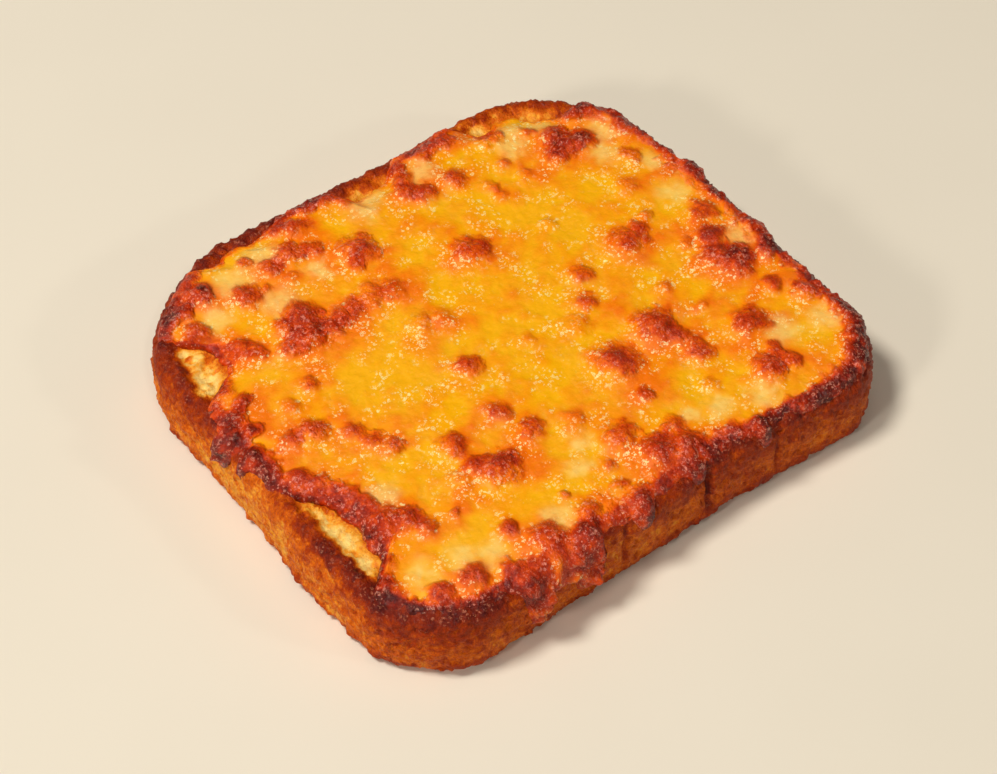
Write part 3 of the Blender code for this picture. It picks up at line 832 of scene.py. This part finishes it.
def cheese_material():
    """Melted cheese under an oily coat, with painted highlights as wet glints, and rough browned lumps."""
    tree = Nodes("melted_cheese", Roughness=0.38, Specular_IOR_Level=0.06, IOR=1.45, Subsurface_Weight=0.15,
                 Subsurface_Radius=(1.0, 0.30, 0.05), Subsurface_Scale=1.0 * MM, Coat_Weight=0.60,
                 Coat_Roughness=0.09)
    brown = tree.field("brown")
    fine = tree.variation(1.3, 4, 0.6)
    grit = tree.variation(0.45, 2, 0.6)
    patchiness = tree.product(tree.variation(3.0, 3, 0.6), brown)
    tint = tree.total((brown, 0.655), (tree.field("char"), 0.22), (tree.field("orange"), 0.35),
                      (patchiness, 0.75), (fine, tree.total((brown, 0.42), 0.06)),
                      (grit, tree.total((brown, 0.22), 0.08)))
    paleness = tree.product(tree.field("pale"), tree.total((fine, 0.9), 0.66), clamp=True)
    colour = tree.mix(paleness, tree.ramp(tint, CHEESE_COLOURS), linear(PALE_CHEESE))
    # Painted highlights: glints mixed into the base colour, pale yellow on cheese and pink on brown
    glint_pattern = tree.operate("MAXIMUM", tree.glint_dots(1.25, 0.30), tree.glint_dots(0.75, 0.30))
    glint_colour = tree.mix(tree.step(0.25, 0.6, brown), linear(PAINTED_GLINTS_ON_CHEESE), linear(PAINTED_GLINTS_ON_BROWN))
    painted_highlights = tree.product(tree.product(glint_pattern, tree.field("painted_highlights")), PAINTED_GLINT_STRENGTH)
    crusty = tree.step(0.10, 0.6, brown)
    lumpy = tree.bump(tree.product(tree.noise(1.1), crusty), 0.50)
    gritty = tree.bump(tree.product(tree.noise(0.5, 2), crusty), 0.25, Normal=lumpy)
    ripples = tree.total(tree.noise(0.8, 3, 0.5), (tree.product(tree.noise(0.45, 2), crusty), 0.4))
    tree.fill(tree.shader, {
        "Base Color": tree.mix(painted_highlights, colour, glint_colour),
        "Normal": gritty,
        "Coat Normal": tree.bump(ripples, 0.62, Normal=lumpy),
    })
    return tree.material


def bread_material():
    """Dry toasted crust with fibres and fine grit, painted glints as highlights where it is burnt, and
    smoother pale crumb.
    """
    tree = Nodes("toasted_bread", Roughness=0.42, Specular_IOR_Level=0.04, Subsurface_Weight=0.08,
                 Subsurface_Radius=(1.0, 0.4, 0.15), Subsurface_Scale=1.0 * MM, Coat_Weight=0.16,
                 Coat_Roughness=0.12)
    toast = tree.field("toast")
    crumb = tree.field("crumb")
    fibres = tree.noise(0.7, 3, 0.6, stretch=(1, 1, 0.35))
    crustiness = tree.total((crumb, -0.6), 1.0)
    mottle = tree.total((tree.variation(0.9, 4, 0.65), 0.34), (tree.total(fibres, -0.5), 0.20),
                        (tree.variation(0.4, 2, 0.6), 0.30))
    tint = tree.total(toast, (crumb, -0.40), (mottle, crustiness))
    # Painted highlights on the burnt crust
    glints = tree.product(tree.product(tree.glint_dots(0.9, 0.30), tree.step(0.62, 0.85, toast)), GLINT_STRENGTH)
    fibrous = tree.bump(tree.product(fibres, crustiness), 0.45)
    fine_height = tree.product(tree.noise(0.5, 3, 0.65), crustiness)
    tree.fill(tree.shader, {
        "Base Color": tree.mix(glints, tree.ramp(tint, BREAD_COLOURS), linear(PAINTED_GLINTS_ON_CRUST)),
        "Normal": tree.bump(fine_height, 0.42, Normal=fibrous),
        "Coat Normal": tree.bump(tree.noise(0.7, 3, 0.5), 0.60),
    })
    return tree.material


def floor_material():
    """Pale and matt, with faint clouds."""
    tree = Nodes("pale_floor", Roughness=0.6, Specular_IOR_Level=0.1)
    darker = linear([part - FLOOR_SHADE for part in FLOOR_COLOUR])
    clouds = tree.noise(FLOOR_CLOUDS, 2, 0.5)
    tree.feed(tree.shader.inputs["Base Color"], tree.mix(clouds, linear(FLOOR_COLOUR), darker))
    return tree.material


# ---- Stage, light and camera, in metres and degrees ----

FLOOR_SIZE = 4
CAMERA_TURN = 40                # from looking along +Y towards +X
CAMERA_PITCH = 49.25            # below level
CAMERA_ROLL = 1.58
CAMERA_DISTANCE = 0.660
FOCAL_PIXELS = 3120
IMAGE_WIDTH = 997
SENSOR_WIDTH = 36
LIGHT_COLOUR = (1.0, 0.97, 0.93)
LIGHTS = (                      # name, turn, height, distance, size, watts
    ("key_light", 160, 63, 1.8, 0.46, 22.8),
    ("low_light", 192, 30, 1.8, 0.25, 7.5),
    ("front_light", 246, 52, 1.8, 0.14, 2.4),
    ("near_light", 300, 30, 1.8, 0.14, 2.6),
    ("top_light", 200, 86, 2.0, 1.2, 3.2),
)
WORLD_COLOUR = (1.0, 0.93, 0.80)
WORLD_STRENGTH = 0.07


def make_floor():
    bpy.ops.mesh.primitive_plane_add(size=FLOOR_SIZE)
    floor = bpy.context.object
    floor.name = "floor"
    floor.data.materials.append(floor_material())


def make_lights():
    for name, turn, height, distance, size, watts in LIGHTS:
        light = bpy.data.lights.new(name, "AREA")
        light.shape = "DISK"
        light.size = size
        light.energy = watts
        light.color = LIGHT_COLOUR
        lamp = bpy.data.objects.new(name, light)
        bpy.context.scene.collection.objects.link(lamp)
        angle, rise = math.radians(turn), math.radians(height)
        away = Vector((math.cos(angle) * math.cos(rise), math.sin(angle) * math.cos(rise), math.sin(rise)))
        lamp.location = away * distance
        lamp.rotation_euler = away.to_track_quat("Z", "Y").to_euler()


def make_world():
    world = bpy.data.worlds.new("studio")
    world.use_nodes = True
    background = world.node_tree.nodes["Background"]
    background.inputs["Color"].default_value = (*WORLD_COLOUR, 1)
    background.inputs["Strength"].default_value = WORLD_STRENGTH
    bpy.context.scene.world = world


def make_camera():
    """Camera at the photo's angle, which looks at the point under the middle of the slice."""
    turn, pitch, roll = (math.radians(value) for value in (CAMERA_TURN, CAMERA_PITCH, CAMERA_ROLL))
    forward = Vector((math.sin(turn) * math.cos(pitch), math.cos(turn) * math.cos(pitch), -math.sin(pitch)))
    level = Vector((math.cos(turn), -math.sin(turn), 0))
    upright = level.cross(forward)
    right = level * math.cos(roll) + upright * math.sin(roll)
    up = upright * math.cos(roll) - level * math.sin(roll)
    data = bpy.data.cameras.new("camera")
    data.sensor_width = SENSOR_WIDTH
    data.lens = FOCAL_PIXELS * SENSOR_WIDTH / IMAGE_WIDTH
    camera = bpy.data.objects.new("camera", data)
    bpy.context.scene.collection.objects.link(camera)
    turned = Matrix((right, up, -forward)).transposed().to_4x4()
    camera.matrix_world = Matrix.Translation(-forward * CAMERA_DISTANCE) @ turned
    bpy.context.scene.camera = camera


def main():
    bpy.context.scene.view_settings.view_transform = "Standard"
    cheese = make_cheese(cheese_material())
    bread = make_bread(bread_material())
    pieces = ((bread, "bread_slice", "toasted_bread"), (cheese, "cheese_topping", "melted_cheese"))
    for piece, node, slot in pieces:
        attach(piece, "root")
        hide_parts(node)
    make_floor()
    make_lights()
    make_world()
    make_camera()


main()
